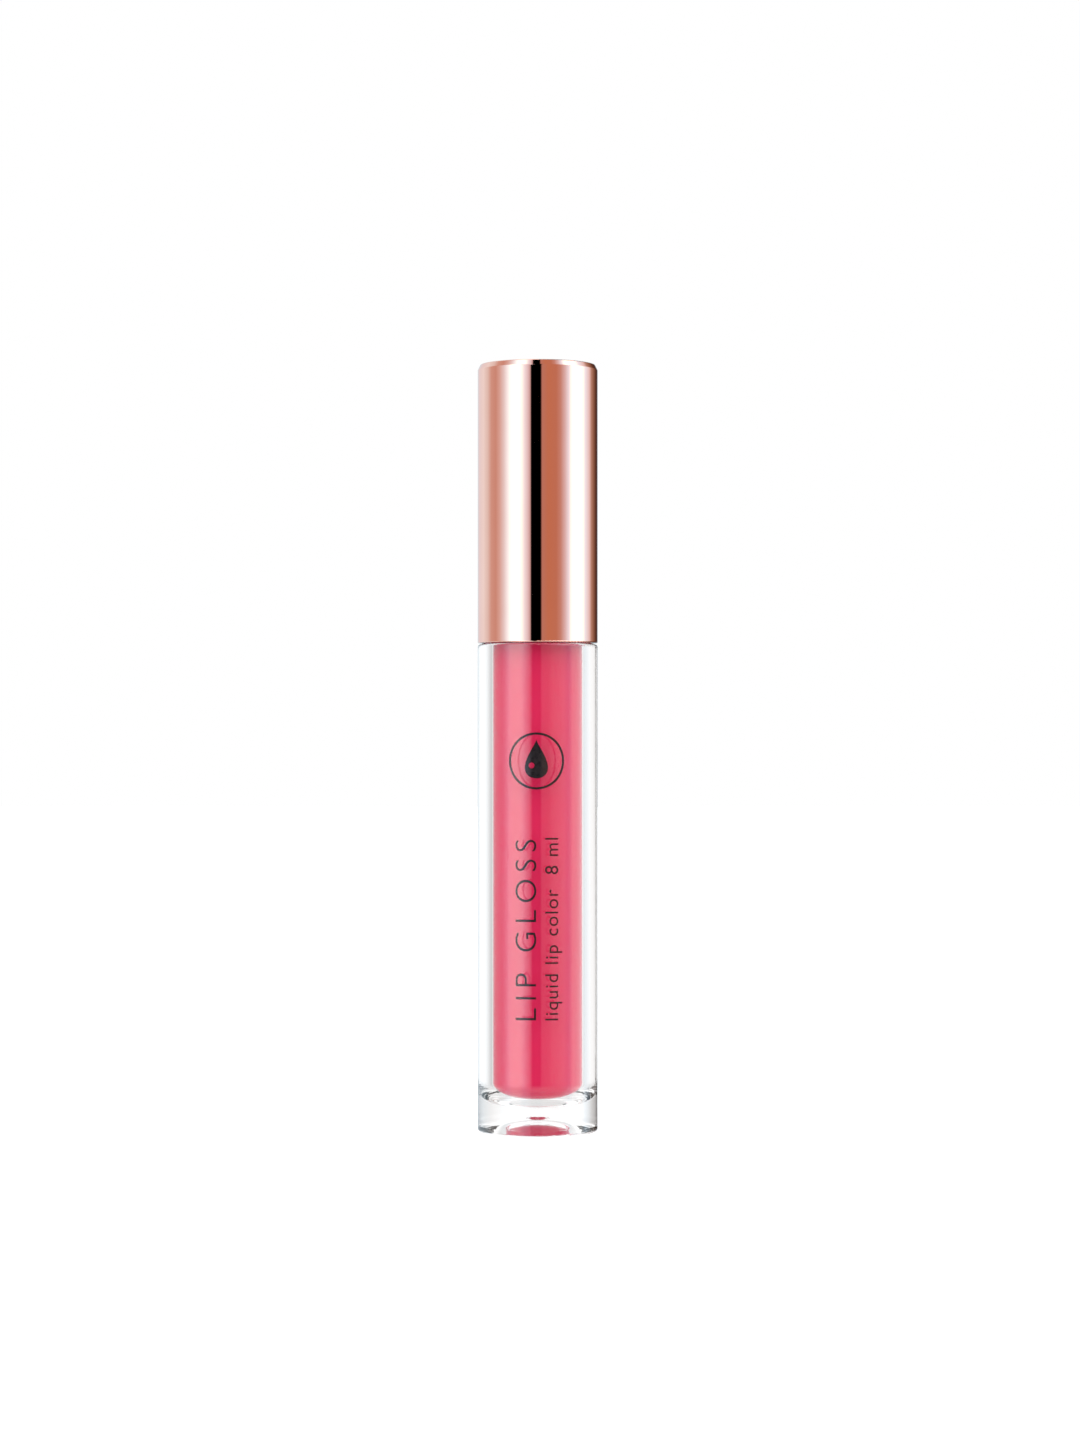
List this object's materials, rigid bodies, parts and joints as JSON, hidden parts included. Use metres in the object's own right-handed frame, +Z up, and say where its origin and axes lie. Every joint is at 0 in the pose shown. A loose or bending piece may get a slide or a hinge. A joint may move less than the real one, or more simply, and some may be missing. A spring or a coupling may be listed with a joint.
{
  "type": "lip gloss tube",
  "caption": "Slim round lip gloss tube: thick clear bottle with an inner vial of pink gloss, and a rose-gold screw cap that carries a doe-foot wand.",
  "frame": {"origin": "centre of the base, on the surface that the tube stands on", "axes": "+Z up along the tube's axis; the slanted face of the applicator looks towards -X at rest"},
  "size_m": [0.0188, 0.0188, 0.12],
  "materials": {
    "clear_acrylic": "clear polished acrylic",
    "clear_vial": "clear polished plastic",
    "pink_gloss": "wet, semi-translucent pink liquid",
    "wiper_polyethylene": "natural soft polyethylene",
    "seal_foam": "closed-cell foam",
    "rose_gold": "polished, rose-gold anodised, mirror gloss",
    "insert_polypropylene": "moulded white polypropylene",
    "rod_plastic": "smooth moulded plastic",
    "tip_flock": "soft flock wetted with gloss",
    "black_ink": "silk-screened black ink"
  },
  "bodies": {
    "bottle": {"outer_bottle": "clear_acrylic", "inner_vial": "clear_vial", "gloss_fill": "pink_gloss", "wiper": "wiper_polyethylene"},
    "seal": {"cap_seal": "seal_foam"},
    "wand": {"cap_shell": "rose_gold", "cap_insert": "insert_polypropylene", "wand_rod": "rod_plastic", "applicator_tip": "tip_flock"}
  },
  "joints": [
    {"name": "cap_lift", "type": "slide", "parent": "bottle", "child": "seal", "axis": [0, 0, 1], "range_m": [0, 0.085]},
    {"name": "cap_turn", "type": "hinge", "parent": "seal", "child": "wand", "pos_m": [0, 0, 0.0892], "axis": [0, 0, 1], "range_deg": [0, 540]}
  ]
}
